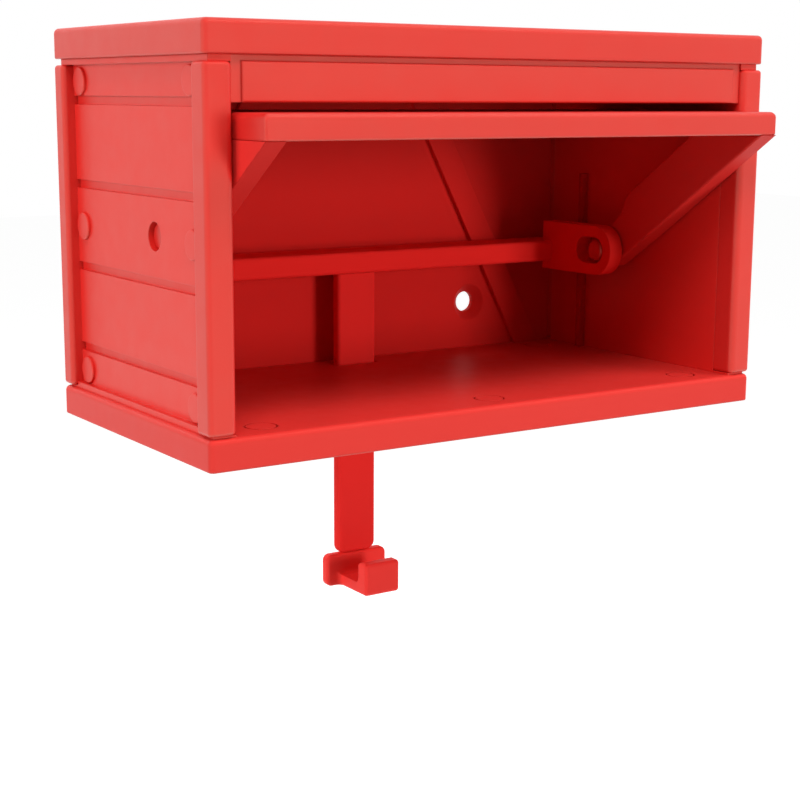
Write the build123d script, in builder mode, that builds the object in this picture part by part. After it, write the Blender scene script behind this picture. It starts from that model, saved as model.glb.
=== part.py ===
from build123d import *
import os
from math import asin, atan2, cos, degrees, hypot, radians, sin

# Wall key cabinet built like a small garage. Hanging a key on the hook below it pulls a lift bar
# down, and the bar swings the door up. Millimetres. +X is to the right seen from the front, the
# front faces -Y and +Z is up. The origin is the centre of the back face, which lies on the wall.
# The door stands open and the hook is down, as when a key hangs on it.

# Overall size of the cabinet
cabinet_width = 110.0
cabinet_depth = 55.6
cabinet_height = 65.4

# Base and roof slabs, and the narrow neck that parts them from the posts
slab_thickness = 5.0
slab_edge_radius = 0.9
slab_foot_radius = 0.3
roof_foot_radius = 0.3
neck_height = 1.0
neck_inset = 1.0
neck_front_inset = 0.7

# Corner posts
post_width = 4.7
front_post_depth = 4.5
rear_post_depth = 3.8
post_edge_radius = 0.8
post_inner_edge_radius = 1.2
post_end_radius = 0.6
post_foot_gap = 0.35

# Side walls with their sunk planks, and the pegs whose heads stand on them
plank_recess = 2.0
plank_count = 5
top_plank_height = 5.0
bottom_plank_height = 5.55
groove_width = 1.4
groove_depth = 0.6
side_peg_diameter = 4.6
side_peg_head = 0.5
side_peg_length = 1.5
side_peg_rear_gap = 0.7
side_peg_front_gap = 1.2
side_peg_heights = (-24.3, 0.2, 24.05)
side_peg_edge = 0.2

# Back panel, its two leaning braces, the wall screws' holes and the adhesive pads
back_thickness = 2.5
brace_rise = 1.0
brace_width = 5.8
brace_top_x = 14.7
brace_foot_margin = 3.3
screw_spacing = 60.0
screw_height = 14.0
screw_hole_diameter = 4.0
screw_head_diameter = 7.2
screw_head_angle = 90.0
pad_width = 30.0
pad_height = 14.0
pad_thickness = 0.8
pad_corner_radius = 2.0
pad_spacing = 52.0
pad_centre_height = 40.0

# Header over the door opening
header_height = 6.75
header_thickness = 2.5
header_setback = 1.05
board_rise = 0.4
board_side_margin = 1.7
board_top_margin = 0.9
board_edge_radius = 0.3

# Pegs set flush in the floor, each in a narrow ring-shaped groove
floor_peg_diameter = 4.7
floor_peg_length = 3.0
floor_peg_groove_width = 0.3
floor_peg_groove_depth = 0.5
floor_peg_side_margin = 6.9
floor_peg_front_margin = 5.8
floor_peg_rear_margin = 8.0

# Door: panel, arms, and the axis they swing on
pivot_setback = 34.0
pivot_over_middle = 0.45
door_reach = 30.2
door_header_gap = 1.4
panel_depth = 48.0
panel_thickness = 3.9
panel_corner_radius = 0.4
panel_edge_radius = 0.9
panel_foot_radius = 0.3
door_side_clearance = 0.32
sill_clearance = 0.4
arm_width = 9.5
arm_thickness = 3.6
arm_edge_radius = 0.4
pivot_pin_diameter = 4.5
pivot_running_clearance = 0.05
pivot_pin_recess = 0.8
pivot_pin_cover = 0.8
crank_radius = 11.5
crank_width = 6.4
crank_pin_diameter = 4.0
pin_end_chamfer = 0.3

# Lift bar with its two forks, and the rails that guide it
bar_depth = 8.6
bar_thickness = 4.0
bar_edge_radius = 0.6
bar_top_over_pin = 0.9
bar_clearance = 0.4
fork_thickness = 3.0
fork_wall = 2.2
fork_root_depth = 2.8
fork_pin_clearance = 0.5
rail_width = 1.6
rail_projection = 1.4

# Pull strap between the lift bar and the key hook
strap_width = 8.3
strap_thickness = 2.2
strap_offset = 1.05
strap_side_clearance = 0.4
strap_face_clearance = 0.3
strap_drop = 31.7
strap_corner_radius = 1.6
strap_edge_radius = 0.7
strap_head_width = 12.0
strap_head_height = 2.0
tongue_width = 4.0
tongue_thickness = 1.2
tongue_length = 3.4

# Key hook
hook_plate_width = 13.3
hook_plate_radius = 1.2
hook_plate_edge = 0.6
hook_arm_width = 7.6
hook_arm_thickness = 2.2
hook_gap = 6.5
hook_block_depth = 2.7
hook_height = 6.2
hook_edge_radius = 0.7
hook_notch_radius = 0.9

# Places that follow from the sizes above
half_width = cabinet_width / 2
front_y = -cabinet_depth
bottom_z = -cabinet_height / 2
top_z = cabinet_height / 2
floor_z = bottom_z + slab_thickness
ceiling_z = top_z - slab_thickness
inner_x = half_width - post_width
wall_face_x = half_width - plank_recess
rail_face_x = half_width - neck_inset
pivot_y = -pivot_setback
pivot_z = pivot_over_middle
header_bottom_z = ceiling_z - header_height
panel_half_width = inner_x - door_side_clearance
door_rise = header_bottom_z - door_header_gap - pivot_z
panel_bottom_rise = door_rise - panel_thickness
arm_inner_x = panel_half_width - arm_thickness

# The door is shut when the lower inner edge of its panel comes down to the sill.
panel_edge_distance = hypot(door_reach, panel_bottom_rise)
sill_drop = pivot_z - floor_z - sill_clearance
door_swing = degrees(atan2(panel_bottom_rise, door_reach) + asin(sill_drop / panel_edge_distance))

# The crank lies as far below the level of the pivot now as it lies above it when the door is shut.
crank_angle = radians(door_swing / 2)
crank_back = crank_radius * cos(crank_angle)
crank_drop = crank_radius * sin(crank_angle)
crank_pin_y = pivot_y + crank_back
crank_pin_z = pivot_z - crank_drop
crank_sway = crank_radius - crank_back
lift_travel = 2 * crank_drop

# The arm's front edge touches its round end and runs to the panel's lower front edge.
arm_half_width = arm_width / 2
arm_angle = atan2(panel_bottom_rise, door_reach) + asin(arm_half_width / panel_edge_distance)

bar_back_y = -(back_thickness + brace_rise + bar_clearance)
bar_front_y = bar_back_y - bar_depth
bar_top_z = crank_pin_z + bar_top_over_pin
bar_bottom_z = bar_top_z - bar_thickness
bar_half_width = inner_x - bar_clearance
fork_outer_x = arm_inner_x - bar_clearance
fork_half_height = crank_pin_diameter / 2 + fork_pin_clearance + fork_wall

strap_y = (bar_back_y + bar_front_y) / 2 + strap_offset
strap_front_y = strap_y - strap_thickness / 2
strap_back_y = strap_y + strap_thickness / 2
hook_top_z = bottom_z - strap_drop
hook_bottom_z = hook_top_z - hook_height
hook_arm_top_z = hook_bottom_z + hook_arm_thickness
hook_block_back_y = strap_front_y - hook_gap
hook_front_y = hook_block_back_y - hook_block_depth

sides = {"left": -1, "right": 1}


def side_plane(x):
    """Plane across the cabinet at x with the pivot as origin, its x axis forward, its y axis up."""
    return Plane(origin=(x, pivot_y, pivot_z), x_dir=(0, -1, 0), z_dir=(-1, 0, 0))


def box_between(x_ends, y_ends, z_ends, mode=Mode.ADD):
    """Add or cut a box that runs between two values along each axis."""
    centre = (sum(x_ends) / 2, sum(y_ends) / 2, sum(z_ends) / 2)
    with Locations(centre):
        Box(abs(x_ends[1] - x_ends[0]), y_ends[1] - y_ends[0], z_ends[1] - z_ends[0], mode=mode)


def keep(part, name):
    """Label a finished piece and write it to its own file."""
    part.label = name
    export_step(part, f"parts/{name}.step")


os.makedirs("parts", exist_ok=True)

# Base slab. Its top is the floor and the door's sill, and the strap runs through its slot.
floor_peg_front_y = front_y + floor_peg_front_margin
floor_peg_x = inner_x - floor_peg_side_margin
floor_peg_spots = [(x, floor_peg_front_y) for x in (-floor_peg_x, 0, floor_peg_x)]
floor_peg_spots += [(x, -floor_peg_rear_margin) for x in (-floor_peg_x, floor_peg_x)]

with BuildPart() as base_plate:
    with BuildSketch(Plane.XY.offset(bottom_z)):
        with Locations((0, front_y / 2)):
            Rectangle(cabinet_width, cabinet_depth)
    extrude(amount=slab_thickness)
    fillet(base_plate.edges().filter_by(Axis.Z), radius=slab_edge_radius)
    fillet(base_plate.faces().sort_by(Axis.Z)[-1].edges(), radius=slab_edge_radius)
    fillet(base_plate.faces().sort_by(Axis.Z)[0].edges(), radius=slab_foot_radius)
    with BuildSketch(Plane.XY.offset(bottom_z)):
        with Locations((0, strap_y)):
            Rectangle(strap_width + 2 * strap_side_clearance, strap_thickness + 2 * strap_face_clearance)
    extrude(amount=slab_thickness, mode=Mode.SUBTRACT)
    with BuildSketch(Plane.XY.offset(floor_z)):
        with Locations(*floor_peg_spots):
            Circle(floor_peg_diameter / 2)
    extrude(amount=-floor_peg_length, mode=Mode.SUBTRACT)
    with BuildSketch(Plane.XY.offset(floor_z)):
        with Locations(*floor_peg_spots):
            Circle(floor_peg_diameter / 2 + floor_peg_groove_width)
    extrude(amount=-floor_peg_groove_depth, mode=Mode.SUBTRACT)
keep(base_plate.part, "base_plate")

with BuildPart() as floor_pegs:
    with BuildSketch(Plane.XY.offset(floor_z)):
        with Locations(*floor_peg_spots):
            Circle(floor_peg_diameter / 2)
    extrude(amount=-floor_peg_length)
keep(floor_pegs.part, "floor_pegs")

# Roof slab
with BuildPart() as roof_plate:
    with BuildSketch(Plane.XY.offset(ceiling_z)):
        with Locations((0, front_y / 2)):
            Rectangle(cabinet_width, cabinet_depth)
    extrude(amount=slab_thickness)
    fillet(roof_plate.edges().filter_by(Axis.Z), radius=slab_edge_radius)
    fillet(roof_plate.faces().sort_by(Axis.Z)[-1].edges(), radius=slab_edge_radius)
    fillet(roof_plate.faces().sort_by(Axis.Z)[0].edges(), radius=roof_foot_radius)
keep(roof_plate.part, "roof_plate")

# Side walls: sunk planks between a low rail at the floor and one under the roof. The rails run on
# over the posts and, as a thin foot, under them. The pegs sit in blind holes.
field_front_y = front_y + front_post_depth
field_rear_y = -rear_post_depth
field_middle_y = (field_front_y + field_rear_y) / 2
field_half_height = ceiling_z - neck_height
inner_planks_height = 2 * field_half_height - top_plank_height - bottom_plank_height
plank_pitch = (inner_planks_height - groove_width) / (plank_count - 2)
groove_middle_z = (bottom_plank_height - top_plank_height) / 2
side_peg_rear_y = field_rear_y - side_peg_diameter / 2 - side_peg_rear_gap
side_peg_front_y = field_front_y + side_peg_diameter / 2 + side_peg_front_gap
side_peg_spots = [(y, z) for y in (side_peg_rear_y, side_peg_front_y) for z in side_peg_heights]


def build_side_wall(side):
    """One side wall, with the door's pivot hole through it."""
    x_ends = sorted((side * inner_x, side * wall_face_x))
    rail_x_ends = sorted((side * inner_x, side * rail_face_x))
    rail_y_ends = (front_y + neck_front_inset, -neck_inset)
    with BuildPart() as wall:
        box_between(x_ends, (field_front_y, field_rear_y), (floor_z, ceiling_z))
        box_between(rail_x_ends, (field_front_y, field_rear_y), (floor_z, floor_z + neck_height))
        box_between(rail_x_ends, rail_y_ends, (floor_z, floor_z + post_foot_gap))
        box_between(rail_x_ends, rail_y_ends, (ceiling_z - neck_height, ceiling_z))
        with BuildSketch(Plane.YZ.offset(side * wall_face_x)):
            with Locations((field_middle_y, groove_middle_z)):
                with GridLocations(0, plank_pitch, 1, plank_count - 1):
                    Rectangle(field_rear_y - field_front_y, groove_width)
        extrude(amount=-side * groove_depth, mode=Mode.SUBTRACT)
        with BuildSketch(Plane.YZ.offset(side * wall_face_x)):
            with Locations(*side_peg_spots):
                Circle(side_peg_diameter / 2)
        extrude(amount=-side * side_peg_length, mode=Mode.SUBTRACT)
        with BuildSketch(Plane.YZ.offset(side * wall_face_x)):
            with Locations((pivot_y, pivot_z)):
                Circle(pivot_pin_diameter / 2 + pivot_running_clearance)
        extrude(amount=-side * (wall_face_x - inner_x), mode=Mode.SUBTRACT)
    return wall.part


def build_side_pegs(side):
    """The six pegs of one side wall, their heads standing on the planks."""
    with BuildPart() as pegs:
        with BuildSketch(Plane.YZ.offset(side * (wall_face_x - side_peg_length))):
            with Locations(*side_peg_spots):
                Circle(side_peg_diameter / 2)
        extrude(amount=side * (side_peg_length + side_peg_head))
        head_faces = pegs.faces().group_by(Axis.X)[-1 if side > 0 else 0]
        fillet(head_faces.edges(), radius=side_peg_edge)
    return pegs.part


def build_post(side, y_ends, inner_front_edge_free):
    """One corner post. The inner corners that lie against other pieces stay square."""
    x_ends = (side * inner_x, side * half_width)
    height = ceiling_z - neck_height - (floor_z + post_foot_gap)
    with BuildPart() as post:
        with BuildSketch(Plane.XY.offset(floor_z + post_foot_gap)) as outline:
            with Locations((sum(x_ends) / 2, sum(y_ends) / 2)):
                Rectangle(post_width, y_ends[1] - y_ends[0])
            if inner_front_edge_free:
                inner_corners = outline.vertices().group_by(Axis.X)[0 if side > 0 else -1]
                fillet(inner_corners.sort_by(Axis.Y)[0], radius=post_inner_edge_radius)
            outer_corners = outline.vertices().group_by(Axis.X)[-1 if side > 0 else 0]
            fillet(outer_corners, radius=post_edge_radius)
        extrude(amount=height)
        end_faces = post.faces().filter_by(Axis.Z)
        fillet(end_faces.edges(), radius=post_end_radius)
    return post.part


def build_guide_rail(side):
    """Upright rail on a side wall that keeps the lift bar's end against the back panel."""
    x_ends = sorted((side * inner_x, side * (inner_x - rail_projection)))
    rail_back_y = bar_front_y - bar_clearance
    rail_top_z = bar_top_z + lift_travel - bar_thickness / 2
    with BuildPart() as rail:
        box_between(x_ends, (rail_back_y - rail_width, rail_back_y), (floor_z, rail_top_z))
        free_edges = rail.edges().filter_by(Axis.Z).group_by(Axis.X)[0 if side > 0 else -1]
        fillet(free_edges, radius=bar_edge_radius)
    return rail.part


for name, side in sides.items():
    keep(build_side_wall(side), f"{name}_side_wall")
    keep(build_side_pegs(side), f"{name}_side_pegs")
    keep(build_post(side, (front_y, field_front_y), inner_front_edge_free=True), f"{name}_front_post")
    keep(build_post(side, (field_rear_y, 0), inner_front_edge_free=False), f"{name}_rear_post")
    keep(build_guide_rail(side), f"{name}_guide_rail")

# Back panel between the side walls. The braces stand on its inner face, the screw holes are
# countersunk from inside, and the adhesive pads lie in two pockets in its outer face.
pad_z = bottom_z + pad_centre_height
brace_foot_x = inner_x - brace_foot_margin - brace_width / 2

with BuildPart() as back_panel:
    with BuildSketch(Plane.XZ):
        Rectangle(2 * inner_x, ceiling_z - floor_z)
    extrude(amount=back_thickness)
    with BuildSketch(Plane.XZ.offset(back_thickness)):
        for side in sides.values():
            with BuildLine():
                Polyline(
                    (side * brace_top_x - brace_width / 2, ceiling_z),
                    (side * brace_top_x + brace_width / 2, ceiling_z),
                    (side * brace_foot_x + brace_width / 2, floor_z),
                    (side * brace_foot_x - brace_width / 2, floor_z),
                    close=True,
                )
            make_face()
    extrude(amount=brace_rise)
    with BuildSketch(Plane.XZ):
        with Locations((0, pad_z)):
            with GridLocations(pad_spacing, 0, 2, 1):
                RectangleRounded(pad_width, pad_height, pad_corner_radius)
    extrude(amount=pad_thickness, mode=Mode.SUBTRACT)
    with Locations(Plane.XZ.offset(back_thickness)):
        with Locations((0, bottom_z + screw_height)):
            with GridLocations(screw_spacing, 0, 2, 1):
                CounterSinkHole(
                    screw_hole_diameter / 2, screw_head_diameter / 2, counter_sink_angle=screw_head_angle
                )
keep(back_panel.part, "back_panel")

with BuildPart() as wall_pads:
    with BuildSketch(Plane.XZ):
        with Locations((0, pad_z)):
            with GridLocations(pad_spacing, 0, 2, 1):
                RectangleRounded(pad_width, pad_height, pad_corner_radius)
    extrude(amount=pad_thickness)
keep(wall_pads.part, "wall_pads")

# Header: a backing under the roof with a raised board on its face
header_face_y = front_y + header_setback
board_half_width = inner_x - board_side_margin

with BuildPart() as header_panel:
    with BuildSketch(Plane.XZ.offset(-header_face_y)):
        with Locations((0, (header_bottom_z + ceiling_z) / 2)):
            Rectangle(2 * inner_x, header_height)
    extrude(amount=-header_thickness)
    with BuildSketch(Plane.XZ.offset(-header_face_y)):
        with Locations((0, (header_bottom_z + ceiling_z - board_top_margin) / 2)):
            Rectangle(2 * board_half_width, header_height - board_top_margin)
    extrude(amount=board_rise)
    fillet(header_panel.faces().sort_by(Axis.Y)[0].edges(), radius=board_edge_radius)
keep(header_panel.part, "header_panel")

# Door panel, level over the pivot while the door is open
panel_front_y = pivot_y - door_reach
panel_top_z = pivot_z + door_rise

with BuildPart() as door_panel:
    with BuildSketch(Plane.XY.offset(panel_top_z - panel_thickness)):
        with Locations((0, panel_front_y + panel_depth / 2)):
            Rectangle(2 * panel_half_width, panel_depth)
    extrude(amount=panel_thickness)
    fillet(door_panel.edges().filter_by(Axis.Z), radius=panel_corner_radius)
    fillet(door_panel.faces().sort_by(Axis.Z)[-1].edges(), radius=panel_edge_radius)
    fillet(door_panel.faces().sort_by(Axis.Z)[0].edges(), radius=panel_foot_radius)
keep(door_panel.part, "door_panel")

# Door arms: a strip from the panel down to the pivot, and a crank behind the pivot whose lower
# side carries the strip's front edge on. The pivot pin sits in a blind hole from outside.
arm_run_front = (door_reach, panel_bottom_rise)
arm_run_rear = (door_reach - arm_width / sin(arm_angle), panel_bottom_rise)
arm_end_front = (arm_half_width * sin(arm_angle), -arm_half_width * cos(arm_angle))
arm_end_rear = (-arm_half_width * sin(arm_angle), arm_half_width * cos(arm_angle))
crank_spot = (-crank_back, -crank_drop)
crank_root_offset = arm_half_width - crank_width / 2
crank_root = (crank_root_offset * sin(arm_angle), -crank_root_offset * cos(arm_angle))


def build_door_arm(side):
    """One arm of the door with the holes for its pivot pin and its crank pin."""
    start_x = max(side * panel_half_width, side * arm_inner_x)
    with BuildPart() as arm:
        with BuildSketch(side_plane(start_x)):
            with BuildLine():
                Polyline(arm_run_front, arm_run_rear, arm_end_rear, arm_end_front, close=True)
            make_face()
            Circle(arm_half_width)
            for root_x, root_z in ((0, 0), crank_root):
                run_x = root_x - crank_spot[0]
                run_z = root_z - crank_spot[1]
                with Locations(((root_x + crank_spot[0]) / 2, (root_z + crank_spot[1]) / 2)):
                    SlotCenterToCenter(
                        hypot(run_x, run_z), crank_width, rotation=degrees(atan2(run_z, run_x))
                    )
            with Locations(crank_spot):
                Circle(crank_pin_diameter / 2, mode=Mode.SUBTRACT)
        extrude(amount=arm_thickness)
        inner_face = arm.faces().sort_by(Axis.X)[0 if side > 0 else -1]
        fillet(inner_face.outer_wire().edges().filter_by(GeomType.LINE), radius=arm_edge_radius)
        with BuildSketch(Plane.YZ.offset(side * panel_half_width)):
            with Locations((pivot_y, pivot_z)):
                Circle(pivot_pin_diameter / 2)
        extrude(amount=-side * (arm_thickness - pivot_pin_cover), mode=Mode.SUBTRACT)
    return arm.part


def build_pin(diameter, x_ends, y, z):
    """A plain pin along X with a small chamfer at each end."""
    with BuildPart() as pin:
        with BuildSketch(Plane.YZ.offset(min(x_ends))):
            with Locations((y, z)):
                Circle(diameter / 2)
        extrude(amount=abs(x_ends[1] - x_ends[0]))
        chamfer(pin.edges().filter_by(GeomType.CIRCLE), length=pin_end_chamfer)
    return pin.part


for name, side in sides.items():
    pivot_pin_x = (side * (arm_inner_x + pivot_pin_cover), side * (wall_face_x - pivot_pin_recess))
    crank_pin_x = (side * panel_half_width, side * (fork_outer_x - fork_thickness))
    keep(build_door_arm(side), f"{name}_door_arm")
    keep(build_pin(pivot_pin_diameter, pivot_pin_x, pivot_y, pivot_z), f"{name}_pivot_pin")
    keep(build_pin(crank_pin_diameter, crank_pin_x, crank_pin_y, crank_pin_z), f"{name}_crank_pin")

# Lift bar: a cross bar behind the parking bay with a fork at each end round a crank pin. The
# strap's head lies in a pocket in the middle of its top.
slot_middle_y = crank_pin_y + crank_sway / 2
fork_root_y = bar_front_y + fork_root_depth

with BuildPart() as lift_bar:
    with BuildSketch(Plane.XY.offset(bar_bottom_z)):
        with Locations((0, (bar_back_y + bar_front_y) / 2)):
            Rectangle(2 * bar_half_width, bar_depth)
    extrude(amount=bar_thickness)
    fillet(lift_bar.edges().filter_by(Axis.X), radius=bar_edge_radius)
    for side in sides.values():
        with BuildSketch(Plane.YZ.offset(side * fork_outer_x)):
            with Locations(((crank_pin_y + fork_root_y) / 2, crank_pin_z)):
                Rectangle(fork_root_y - crank_pin_y, 2 * fork_half_height)
            with Locations((crank_pin_y, crank_pin_z)):
                Circle(fork_half_height)
        extrude(amount=-side * fork_thickness)
        with BuildSketch(Plane.YZ.offset(side * fork_outer_x)):
            with Locations((slot_middle_y, crank_pin_z)):
                SlotCenterToCenter(crank_sway, crank_pin_diameter + 2 * fork_pin_clearance)
        extrude(amount=-side * fork_thickness, mode=Mode.SUBTRACT)
    box_between((-strap_width / 2, strap_width / 2), (strap_front_y, strap_back_y),
                (bar_bottom_z, bar_top_z), mode=Mode.SUBTRACT)
    box_between((-strap_head_width / 2, strap_head_width / 2), (strap_front_y, strap_back_y),
                (bar_top_z - strap_head_height, bar_top_z), mode=Mode.SUBTRACT)
keep(lift_bar.part, "lift_bar")

# Pull strap: its head hangs in the lift bar, and its tongue is plugged into the key hook
with BuildPart() as pull_strap:
    with BuildSketch(Plane.XZ.offset(-strap_front_y)) as strap_outline:
        with Locations((0, (bar_top_z + hook_top_z) / 2)):
            Rectangle(strap_width, bar_top_z - hook_top_z)
        fillet(strap_outline.vertices().group_by(Axis.Y)[0], radius=strap_corner_radius)
        with Locations((0, bar_top_z - strap_head_height / 2)):
            Rectangle(strap_head_width, strap_head_height)
    extrude(amount=-strap_thickness)
    long_edges = pull_strap.edges().filter_by(Axis.Z).sort_by(SortBy.LENGTH)[-4:]
    fillet(long_edges, radius=strap_edge_radius)
    box_between((-tongue_width / 2, tongue_width / 2),
                (strap_y - tongue_thickness / 2, strap_y + tongue_thickness / 2),
                (hook_top_z - tongue_length, hook_top_z + strap_corner_radius))
keep(pull_strap.part, "pull_strap")

# Key hook: a cross plate behind, a short arm forward, and an upright block that keeps the ring on.
# The margin tells the edges at the arm's root from the others round them.
root_margin = 0.2


def is_arm_root(point):
    """True on the edges where the arm's top and sides run into the front of the plate."""
    on_plate = abs(point.Y - strap_front_y) < root_margin
    on_arm = abs(point.X) < hook_arm_width / 2 + root_margin
    return on_plate and on_arm and hook_bottom_z + root_margin < point.Z < hook_arm_top_z + root_margin


def is_free_front_rim(point):
    """True on the edges of the plate's front face clear of the arm: its top and its two ends."""
    on_plate = abs(point.Y - strap_front_y) < root_margin
    beside_arm = abs(point.X) > hook_plate_width / 2 - hook_plate_radius
    return on_plate and (beside_arm or point.Z > hook_top_z - root_margin)


with BuildPart() as key_hook:
    with BuildSketch(Plane.YZ.offset(-hook_arm_width / 2)) as hook_profile:
        with BuildLine():
            Polyline(
                (strap_back_y, hook_bottom_z),
                (strap_back_y, hook_arm_top_z),
                (hook_block_back_y, hook_arm_top_z),
                (hook_block_back_y, hook_top_z),
                (hook_front_y, hook_top_z),
                (hook_front_y, hook_bottom_z),
                close=True,
            )
        make_face()
        notch_corner = hook_profile.vertices().group_by(Axis.Y)[1].sort_by(Axis.X)[0]
        fillet(notch_corner, radius=hook_notch_radius)
    extrude(amount=hook_arm_width)
    block_top = key_hook.faces().sort_by(Axis.Z)[-1]
    block_front = key_hook.faces().sort_by(Axis.Y)[0]
    fillet(set(block_top.edges() + block_front.edges()), radius=hook_edge_radius)
    with BuildSketch(Plane.XZ.offset(-strap_front_y)):
        with Locations((0, hook_top_z - hook_height / 2)):
            RectangleRounded(hook_plate_width, hook_height, hook_plate_radius)
    extrude(amount=-strap_thickness)
    arm_roots = key_hook.edges().filter_by(lambda edge: is_arm_root(edge.center()))
    fillet(arm_roots, radius=hook_notch_radius)
    plate_rims = key_hook.faces().filter_by(Axis.Y).sort_by(Axis.Y)[-1].edges()
    fillet(plate_rims, radius=hook_plate_edge)
    front_rim_edges = key_hook.edges().filter_by(lambda edge: is_free_front_rim(edge.center()))
    fillet(front_rim_edges, radius=hook_plate_edge)
    box_between((-tongue_width / 2, tongue_width / 2),
                (strap_y - tongue_thickness / 2, strap_y + tongue_thickness / 2),
                (hook_top_z - tongue_length, hook_top_z), mode=Mode.SUBTRACT)
keep(key_hook.part, "key_hook")

print(f"door swing {door_swing:.2f} degrees, lift travel {lift_travel:.3f}")
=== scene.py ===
from math import pi

import bpy
import numpy as np
from mathutils import Matrix, Vector


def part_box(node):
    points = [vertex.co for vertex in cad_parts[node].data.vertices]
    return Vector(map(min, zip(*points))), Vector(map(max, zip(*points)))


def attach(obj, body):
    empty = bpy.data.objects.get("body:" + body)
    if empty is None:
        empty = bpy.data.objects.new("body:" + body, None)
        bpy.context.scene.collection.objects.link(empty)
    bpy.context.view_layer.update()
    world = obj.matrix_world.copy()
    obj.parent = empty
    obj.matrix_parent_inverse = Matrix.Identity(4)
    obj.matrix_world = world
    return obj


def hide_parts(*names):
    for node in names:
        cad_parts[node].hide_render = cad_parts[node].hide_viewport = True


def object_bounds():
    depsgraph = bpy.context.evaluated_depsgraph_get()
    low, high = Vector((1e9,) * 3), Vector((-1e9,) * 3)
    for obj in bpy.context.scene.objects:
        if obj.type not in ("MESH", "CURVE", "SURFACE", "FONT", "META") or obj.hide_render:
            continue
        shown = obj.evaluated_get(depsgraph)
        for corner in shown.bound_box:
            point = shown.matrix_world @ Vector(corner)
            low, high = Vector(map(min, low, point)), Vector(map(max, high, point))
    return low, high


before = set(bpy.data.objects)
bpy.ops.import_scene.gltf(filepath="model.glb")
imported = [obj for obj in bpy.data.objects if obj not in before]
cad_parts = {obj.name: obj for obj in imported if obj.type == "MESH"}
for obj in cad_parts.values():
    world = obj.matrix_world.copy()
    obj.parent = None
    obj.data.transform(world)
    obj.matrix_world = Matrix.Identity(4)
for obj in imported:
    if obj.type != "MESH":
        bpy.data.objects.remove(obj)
cad_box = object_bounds()
scene = bpy.context.scene
scene.view_settings.view_transform = "Standard"

# The camera stands to the left of the cabinet and a little above its middle, about 30 cm from it,
# as a close product picture is taken. The picture is square. Places are in metres, turns in radians.
camera_place = (-0.158730, -0.261409, 0.022196)
camera_turn_right = 0.58726
camera_tilt_up = -0.18822
camera_roll = 0.00514
focal_length_pixels = 1604.71
picture_width_pixels = 800
sensor_width_mm = 36.0
nearest_seen = 0.01

camera = bpy.data.objects.new("camera", bpy.data.cameras.new("camera"))
camera.data.sensor_width = sensor_width_mm
camera.data.lens = sensor_width_mm * focal_length_pixels / picture_width_pixels
camera.data.clip_start = nearest_seen
camera.matrix_world = (
    Matrix.Translation(camera_place)
    @ Matrix.Rotation(-camera_turn_right, 4, "Z")
    @ Matrix.Rotation(pi / 2 + camera_tilt_up, 4, "X")
    @ Matrix.Rotation(camera_roll, 4, "Z")
)
scene.collection.objects.link(camera)
scene.camera = camera

# The studio is a white room with large soft lamps. A low key in front reaches the back of the bay
# under the door, two high lamps light its floor from either side, a fill stands at each end, and one
# lamp lights the back. Turns and heights are in degrees, sizes in metres and powers in watts.
white = (1, 1, 1, 1)
room_glow = 1.0
lamp_aim = Vector((0.0, -0.028, 0.0))
lamp_distance = 1.3
lamps = {
    "low_key_lamp": {"turn": 19.0, "height": 1.0, "size": (0.30, 0.42), "power": 7.6},
    "left_high_lamp": {"turn": -34.0, "height": 50.0, "size": (0.50, 0.50), "power": 9.8},
    "right_high_lamp": {"turn": 45.0, "height": 50.0, "size": (0.50, 0.50), "power": 9.0},
    "left_fill_lamp": {"turn": -90.0, "height": 12.0, "size": (0.70, 0.70), "power": 11.5},
    "right_fill_lamp": {"turn": 90.0, "height": 12.0, "size": (0.70, 0.70), "power": 5.5},
    "back_lamp": {"turn": 180.0, "height": 20.0, "size": (0.90, 0.90), "power": 13.0},
}


def add_node(tree, kind, inputs=None, **settings):
    """Add a shader node, set its plain sockets and its settings, and return it."""
    node = tree.nodes.new(kind)
    for name, value in settings.items():
        setattr(node, name, value)
    for name, value in (inputs or {}).items():
        node.inputs[name].default_value = value
    return node


def white_to_the_eye(tree):
    """1 for a ray from the camera, or one that came by a mirror or through glass, else 0."""
    path = add_node(tree, "ShaderNodeLightPath")
    either = add_node(tree, "ShaderNodeMath", operation="MAXIMUM")
    any_of_three = add_node(tree, "ShaderNodeMath", operation="MAXIMUM")
    tree.links.new(path.outputs["Is Camera Ray"], either.inputs[0])
    tree.links.new(path.outputs["Is Glossy Ray"], either.inputs[1])
    tree.links.new(either.outputs[0], any_of_three.inputs[0])
    tree.links.new(path.outputs["Is Transmission Ray"], any_of_three.inputs[1])
    return any_of_three.outputs[0]


# The room itself gives no light: the empty socket of the mix stands for all other rays.
scene.world = bpy.data.worlds.new("white_room")
scene.world.use_nodes = True
room = scene.world.node_tree
room.nodes.clear()
white_room = add_node(room, "ShaderNodeBackground", {"Color": white, "Strength": room_glow})
room_mix = add_node(room, "ShaderNodeMixShader")
room_out = add_node(room, "ShaderNodeOutputWorld")
room.links.new(white_to_the_eye(room), room_mix.inputs["Fac"])
room.links.new(white_room.outputs[0], room_mix.inputs[2])
room.links.new(room_mix.outputs[0], room_out.inputs["Surface"])

for name, lamp in lamps.items():
    light = bpy.data.objects.new(name, bpy.data.lights.new(name, "AREA"))
    light.data.shape = "RECTANGLE"
    light.data.size, light.data.size_y = lamp["size"]
    light.data.energy = lamp["power"]
    turn, height = np.radians(lamp["turn"]), np.radians(lamp["height"])
    toward_lamp = Vector((np.sin(turn) * np.cos(height), -np.cos(turn) * np.cos(height), np.sin(height)))
    light.location = lamp_aim + lamp_distance * toward_lamp
    light.rotation_euler = toward_lamp.to_track_quat("Z", "Y").to_euler()
    light.visible_camera = False
    light.visible_glossy = False
    scene.collection.objects.link(light)

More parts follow.
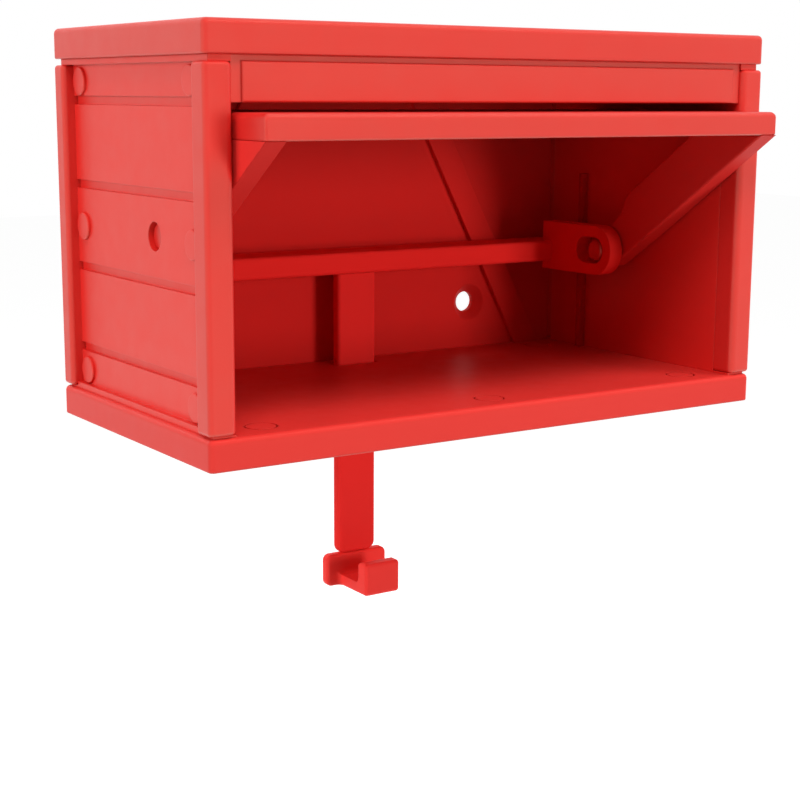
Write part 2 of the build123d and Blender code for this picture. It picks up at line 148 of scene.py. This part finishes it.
# The floor is plain pale board, far enough below the hanging cabinet for its shadow to be faint.
# It shows as white as the room to the camera.
floor_drop = 0.40
floor_reach = 6.0
floor_grey = (0.5, 0.5, 0.5, 1)
floor_glow = 0.98

floor_mesh = bpy.data.meshes.new("floor")
floor_corners = [(x, y, cad_box[0][2] - floor_drop) for x, y in
                 ((-floor_reach, -floor_reach), (floor_reach, -floor_reach),
                  (floor_reach, floor_reach), (-floor_reach, floor_reach))]
floor_mesh.from_pydata(floor_corners, [], [(0, 1, 2, 3)])
floor = bpy.data.objects.new("floor", floor_mesh)
scene.collection.objects.link(floor)

pale_board = bpy.data.materials.new("pale_board")
pale_board.use_nodes = True
board = pale_board.node_tree
board.nodes.clear()
board_paint = add_node(board, "ShaderNodeBsdfDiffuse", {"Color": floor_grey, "Roughness": 0.0})
board_glow = add_node(board, "ShaderNodeEmission", {"Color": white})
glow_level = add_node(board, "ShaderNodeMath", operation="MULTIPLY")
glow_level.inputs[1].default_value = floor_glow
board_sum = add_node(board, "ShaderNodeAddShader")
board_out = add_node(board, "ShaderNodeOutputMaterial")
board.links.new(white_to_the_eye(board), glow_level.inputs[0])
board.links.new(glow_level.outputs[0], board_glow.inputs["Strength"])
board.links.new(board_paint.outputs[0], board_sum.inputs[0])
board.links.new(board_glow.outputs[0], board_sum.inputs[1])
board.links.new(board_sum.outputs[0], board_out.inputs["Surface"])
floor_mesh.materials.append(pale_board)

# The base slab is a red ABS moulding with a satin, finely sparked skin. It carries the walls, its
# top is the floor of the bay, and the pull strap runs through a slot behind the middle.
base_colour = (0.64, 0.0330, 0.0270)
# Edges are paled towards this colour: partly wear, partly a painted highlight along them.
edge_wear_and_highlight_red = (0.70, 0.045, 0.036)
gloss_tint = (1.0, 0.96, 0.72, 1.0)
tone_drift = 0.035
tone_patches_per_metre = 45.0
gloss_drift = 0.07
gloss_patches_per_metre = 300.0
# These set the paled band along edges, which is partly wear and partly a painted highlight.
wear_and_highlight_radius = 0.00025
wear_and_highlight_starts_at = 0.995
wear_and_highlight_ends_at = 0.80
wear_and_highlight_strength = 0.22
waves_per_metre = 70.0
wave_depth = 0.00012
wave_strength = 0.25
sparks_per_metre = 2600.0
spark_depth = 0.00002
spark_strength = 0.22


def moulded_plastic(name, colour, roughness, shine=0.5, grain=1.0, edge_wear_and_highlight=edge_wear_and_highlight_red, index=1.58):
    """Moulded plastic: a slow drift of tone and gloss, a fine sparked grain, and edges paled partly for
    wear and partly as a painted highlight.

    The grain is noise under half a millimetre across, over a slow waviness of the skin. Where the
    rounded normal leaves the true one, at an edge, the plastic is a little paler: partly wear, partly a
    painted highlight along the rounded edge.
    """
    material = bpy.data.materials.new(name)
    material.use_nodes = True
    tree = material.node_tree
    skin = tree.nodes["Principled BSDF"]
    skin.inputs["IOR"].default_value = index
    skin.inputs["Specular IOR Level"].default_value = shine
    skin.inputs["Specular Tint"].default_value = gloss_tint
    place = add_node(tree, "ShaderNodeTexCoord").outputs["Object"]

    def noise(scale, detail):
        texture = add_node(tree, "ShaderNodeTexNoise", {"Scale": scale, "Detail": detail})
        tree.links.new(place, texture.inputs["Vector"])
        return texture.outputs["Fac"]

    drift = add_node(tree, "ShaderNodeMix", data_type="RGBA")
    drift.inputs["A"].default_value = (*((1 - tone_drift) * np.array(colour)), 1)
    drift.inputs["B"].default_value = (*((1 + tone_drift) * np.array(colour)), 1)
    tree.links.new(noise(tone_patches_per_metre, detail=3.0), drift.inputs["Factor"])

    true_normal = add_node(tree, "ShaderNodeNewGeometry").outputs["Normal"]
    rounded = add_node(tree, "ShaderNodeBevel", {"Radius": wear_and_highlight_radius}, samples=4)
    likeness = add_node(tree, "ShaderNodeVectorMath", operation="DOT_PRODUCT")
    tree.links.new(rounded.outputs["Normal"], likeness.inputs[0])
    tree.links.new(true_normal, likeness.inputs[1])
    # The paled edge is partly wear and partly a painted highlight.
    wear_and_highlight_share = add_node(tree, "ShaderNodeMapRange", {"From Min": wear_and_highlight_starts_at, "From Max": wear_and_highlight_ends_at,
                                                 "To Min": 0.0, "To Max": wear_and_highlight_strength})
    tree.links.new(likeness.outputs["Value"], wear_and_highlight_share.inputs["Value"])
    paler = add_node(tree, "ShaderNodeMix", data_type="RGBA")
    paler.inputs["B"].default_value = (*edge_wear_and_highlight, 1)
    tree.links.new(wear_and_highlight_share.outputs["Result"], paler.inputs["Factor"])
    tree.links.new(drift.outputs["Result"], paler.inputs["A"])
    tree.links.new(paler.outputs["Result"], skin.inputs["Base Color"])

    gloss = add_node(tree, "ShaderNodeMapRange",
                     {"To Min": roughness - gloss_drift, "To Max": roughness + gloss_drift})
    tree.links.new(noise(gloss_patches_per_metre, detail=4.0), gloss.inputs["Value"])
    tree.links.new(gloss.outputs["Result"], skin.inputs["Roughness"])

    waves = add_node(tree, "ShaderNodeBump", {"Strength": wave_strength, "Distance": wave_depth})
    tree.links.new(noise(waves_per_metre, detail=1.0), waves.inputs["Height"])
    tree.links.new(rounded.outputs["Normal"], waves.inputs["Normal"])
    sparks = add_node(tree, "ShaderNodeBump",
                      {"Strength": spark_strength * grain, "Distance": spark_depth})
    tree.links.new(noise(sparks_per_metre, detail=2.0), sparks.inputs["Height"])
    tree.links.new(waves.outputs["Normal"], sparks.inputs["Normal"])
    tree.links.new(sparks.outputs["Normal"], skin.inputs["Normal"])
    return material


def dress(material, *names):
    """Give pieces of the frame this finish."""
    for name in names:
        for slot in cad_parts[name].material_slots:
            slot.material = material


base_red = moulded_plastic("base_red", base_colour, roughness=0.43, shine=0.40, index=1.45)
dress(base_red, "base_plate")

# Five flush pegs of the same plastic are pressed into the floor. Their ends are smoother than the
# sparked skin round them.
floor_peg_red = moulded_plastic("floor_peg_red", base_colour, roughness=0.41, shine=0.40, grain=0.4,
                                index=1.45)
dress(floor_peg_red, "floor_pegs")

# Each side wall is one red moulding of five sunk planks, with a narrow neck at the floor and at the
# roof, glued to the slabs. The skin of the planks runs a little duller than the slabs'.
sides = ("left", "right")
plank_colour = (0.67, 0.0185, 0.0150)
plank_red = moulded_plastic("plank_red", plank_colour, roughness=0.45, shine=0.70)
dress(plank_red, *[f"{side}_side_wall" for side in sides])

# Six round pegs of the same plastic are pressed into blind holes in each wall, one row at the front
# and one at the back. Their heads stand a little proud and are smooth.
peg_colour = (0.66, 0.0185, 0.0150)
peg_red = moulded_plastic("peg_red", peg_colour, roughness=0.42, shine=0.70, grain=0.4)
dress(peg_red, *[f"{side}_side_pegs" for side in sides])

# The four corner posts are plain square bars of the same plastic with rounded long edges. They are
# moulded singly and glued between the slabs' necks.
post_colour = (0.60, 0.0180, 0.0150)
post_red = moulded_plastic("post_red", post_colour, roughness=0.41, shine=0.74)
dress(post_red, *[f"{side}_{end}_post" for side in sides for end in ("front", "rear")])

# A thin moulded rail inside each wall keeps the lift bar's end against the back panel. It is glued
# in, and it has hardly any grain or shine, because the bar slides on it. Its red is painted darker than
# the walls' as painted shade, and its edges are not paled.
rail_colour_with_painted_shade = (0.50, 0.0130, 0.0105)
rail_red_with_painted_shade = moulded_plastic("rail_red_with_painted_shade", rail_colour_with_painted_shade, roughness=0.55, shine=0.05, grain=0.3,
                           edge_wear_and_highlight=rail_colour_with_painted_shade)
dress(rail_red_with_painted_shade, *[f"{side}_guide_rail" for side in sides])

# The back panel closes the bay. It is one moulding with a leaning brace at each side and two
# countersunk screw holes, glued between the walls. Its skin is dull, as it was never handled.
bay_colour = (0.68, 0.0200, 0.0170)
bay_red = moulded_plastic("bay_red", bay_colour, roughness=0.60, shine=0.15)
dress(bay_red, "back_panel")

# Two pads of pale double-sided foam tape lie in pockets in the back. Each is die cut with round
# corners, bulges a little at its cut edge, and sinks a trifle towards it.
pad_width = 0.030
pad_corner = 0.0020
pad_edge_bulge = 0.00025
pad_crown = 0.00008
corner_steps = 8
edge_steps = 9
face_steps = 6
foam_colour = (0.75, 0.74, 0.70)
# The pad's edges pale towards this colour, partly wear and partly a painted highlight.
foam_edge_wear_and_highlight_colour = (0.80, 0.79, 0.76)


def foam_pad(name, low, high):
    """A closed pad between two corners of a box, its broad faces across Y.

    A ring of the surface is a rounded rectangle: each corner's centre plus r (cos a, sin a). Along
    the cut edge the rings follow a half ellipse, inset b (1 - cos p) and depth h sin p. Over each
    face they shrink to the middle by a share s, and the face stands by the crown, c (1 - s s).
    """
    low, high = np.array(low), np.array(high)
    middle, half = (low + high) / 2, (high - low) / 2
    edge_half_depth = half[1] - pad_crown

    slope = np.linspace(-pi / 2, pi / 2, edge_steps)
    shrink = np.arange(1, face_steps) / face_steps
    face_inset = np.full_like(shrink, pad_edge_bulge)
    face_depth = edge_half_depth + pad_crown * (1 - shrink ** 2)
    share = np.concatenate((shrink, np.ones(edge_steps), shrink[::-1]))[:, None]
    inset = np.concatenate((face_inset, pad_edge_bulge * (1 - np.cos(slope)), face_inset))[:, None]
    y = np.concatenate((-face_depth, edge_half_depth * np.sin(slope), face_depth[::-1]))[:, None]

    quarter = np.repeat(np.arange(4), corner_steps)
    side_x = np.array((1, -1, -1, 1))[quarter]
    side_z = np.array((1, 1, -1, -1))[quarter]
    turn = (np.arange(4 * corner_steps) + 0.5) / corner_steps * pi / 2
    x = share * (side_x * (half[0] - pad_corner) + (pad_corner - inset) * np.cos(turn))
    z = share * (side_z * (half[2] - pad_corner) + (pad_corner - inset) * np.sin(turn))
    grid = np.stack((x, np.broadcast_to(y, x.shape), z), axis=-1).reshape(-1, 3)
    points = middle + np.concatenate((grid, [(0, -half[1], 0), (0, half[1], 0)]))

    rings, around = x.shape
    here = np.arange(around)
    beside = np.roll(here, -1)
    row = around * np.arange(rings - 1)[:, None]
    bands = np.stack((row + here, row + around + here, row + around + beside, row + beside), axis=-1)
    last_ring = around * (rings - 1)
    first_pole = np.full_like(here, len(grid))
    first_cap = np.stack((first_pole, here, beside), axis=-1)
    last_cap = np.stack((first_pole + 1, last_ring + beside, last_ring + here), axis=-1)
    faces = bands.reshape(-1, 4).tolist() + first_cap.tolist() + last_cap.tolist()

    mesh = bpy.data.meshes.new(name)
    mesh.from_pydata(points.tolist(), [], faces)
    mesh.shade_smooth()
    piece = bpy.data.objects.new(name, mesh)
    scene.collection.objects.link(piece)
    return piece


pad_white = moulded_plastic("pad_white", foam_colour, roughness=0.88, shine=0.30, grain=2.5,
                            edge_wear_and_highlight=foam_edge_wear_and_highlight_colour)
pads_low, pads_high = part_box("wall_pads")
for side, low_x in (("left", pads_low[0]), ("right", pads_high[0] - pad_width)):
    pad = foam_pad(f"{side}_foam_pad", (low_x, pads_low[1], pads_low[2]),
                   (low_x + pad_width, pads_high[1], pads_high[2]))
    pad.data.materials.append(pad_white)
    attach(pad, "cabinet")
    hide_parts("wall_pads")

# The header over the opening is one moulding, a thin backing under the roof with a low raised board
# on its face. It is glued between the walls and is the glossiest of the fixed pieces.
header_colour = (0.57, 0.0170, 0.0140)
header_red = moulded_plastic("header_red", header_colour, roughness=0.42, shine=0.88)
dress(header_red, "header_panel")

# The roof slab is the twin of the base without holes, a little glossier. It closes the cabinet from
# above, glued on to the necks of the walls.
roof_colour = (0.58, 0.0180, 0.0150)
roof_red = moulded_plastic("roof_red", roof_colour, roughness=0.41, shine=0.76)
dress(roof_red, "roof_plate")

# The door panel is a plain thick board of the same plastic with soft edges. It is handled most, so
# it is the smoothest of the outer pieces.
door_colour = (0.58, 0.0172, 0.0144)
door_red = moulded_plastic("door_red", door_colour, roughness=0.40, shine=0.78, grain=0.8)
dress(door_red, "door_panel")

# An arm at each end of the panel runs down to the pivot and on to the crank behind it. It is a flat
# moulding, duller than the panel, and glued to the panel's end.
arm_colour = (0.67, 0.0280, 0.0235)
arm_red = moulded_plastic("arm_red", arm_colour, roughness=0.50, shine=0.30, grain=0.8, index=1.30)
dress(arm_red, *[f"{side}_door_arm" for side in sides])

# The door turns on two short pins through the walls, and two thinner ones join its cranks to the
# lift bar. They are turned smooth from red rod and pressed into the arms.
pin_colour = (0.60, 0.0150, 0.0125)
pin_red = moulded_plastic("pin_red", pin_colour, roughness=0.35, grain=0.2)
dress(pin_red, *[f"{side}_{use}_pin" for side in sides for use in ("pivot", "crank")])

# The lift bar slides up and down against the back panel, with a fork round each crank pin. It is one
# moulding of the same plastic, its red painted brighter than the cabinet's as painted light on its face.
bar_colour_with_painted_light = (0.88, 0.0260, 0.0220)
bar_red_with_painted_light = moulded_plastic("bar_red_with_painted_light", bar_colour_with_painted_light, roughness=0.50, shine=0.20, index=1.30)
dress(bar_red_with_painted_light, "lift_bar")

# The pull strap is a flat moulded strip whose head hangs in the lift bar. It runs down through the
# slot in the base. Its red is painted brighter than the cabinet's, as painted light where the base
# shades it.
strap_colour_with_painted_light = (0.85, 0.0290, 0.0250)
strap_red_with_painted_light = moulded_plastic("strap_red_with_painted_light", strap_colour_with_painted_light, roughness=0.55, shine=0.20, index=1.22)
dress(strap_red_with_painted_light, "pull_strap")

# The key hook is a small thick moulding plugged on to the strap's tongue. It is of the same plastic,
# polished a little by the ring. Its red is painted brighter than the cabinet's, as painted light on it.
key_colour_with_painted_light = (0.93, 0.0450, 0.0380)
key_red_with_painted_light = moulded_plastic("key_red_with_painted_light", key_colour_with_painted_light, roughness=0.50, shine=0.30, index=1.35)
dress(key_red_with_painted_light, "key_hook")
